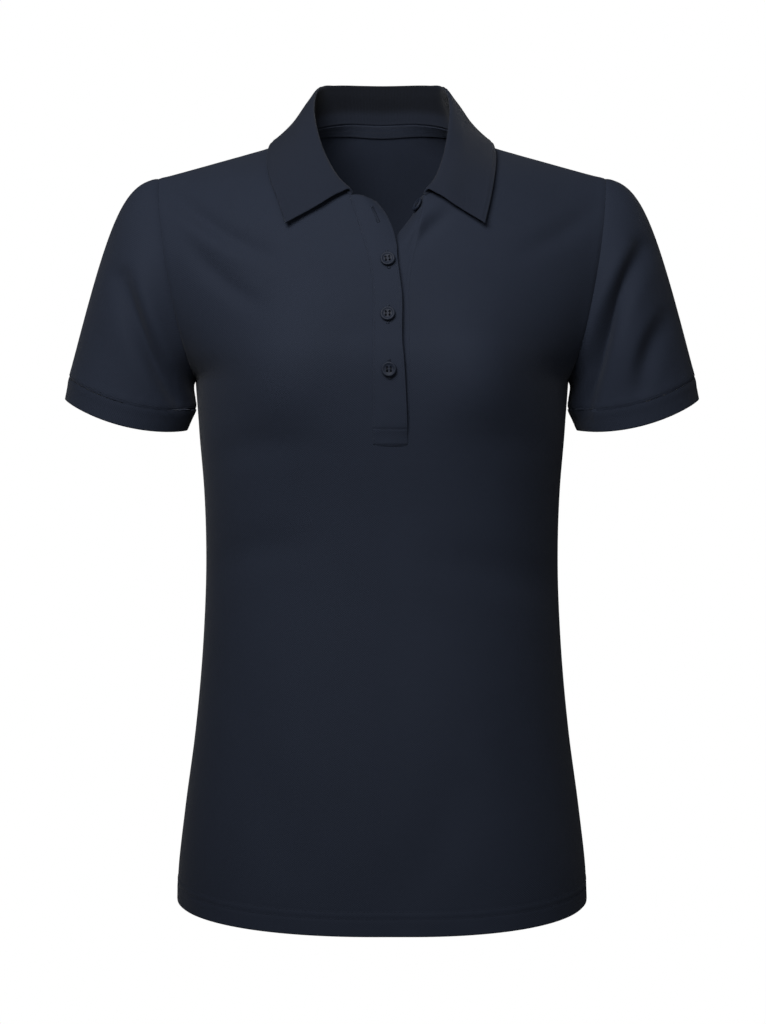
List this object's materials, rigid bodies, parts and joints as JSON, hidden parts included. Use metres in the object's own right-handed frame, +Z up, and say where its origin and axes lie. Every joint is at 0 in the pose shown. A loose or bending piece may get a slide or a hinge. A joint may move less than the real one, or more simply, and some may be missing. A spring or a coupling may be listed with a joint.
{
  "type": "polo shirt",
  "caption": "Women's fitted short-sleeved polo shirt in navy pique, filled out as worn, with a folded flat-knit collar, a half-open buttoned placket and rib cuffs.",
  "frame": {"origin": "between the high points of the shoulders, at the base of the neck, where the wearer carries the shirt", "axes": "+X to the wearer's left, +Y to the wearer's back, +Z up"},
  "size_m": [0.5088, 0.2343, 0.6743],
  "materials": {
    "pique": "matt navy pique knit",
    "flat_knit": "matt navy flat knit with fine ribs",
    "rib_knit": "matt navy rib knit",
    "tape": "navy herringbone tape",
    "button": "glossy navy"
  },
  "bodies": {
    "root": {"front": "pique", "back": "pique", "sleeve_left": "pique", "sleeve_right": "pique", "cuff_left": "rib_knit", "cuff_right": "rib_knit", "collar": "flat_knit", "placket_top": "pique", "placket_under": "pique", "neck_tape": "tape", "button_1": "button", "button_2": "button", "button_3": "button", "button_4": "button"}
  },
  "joints": []
}
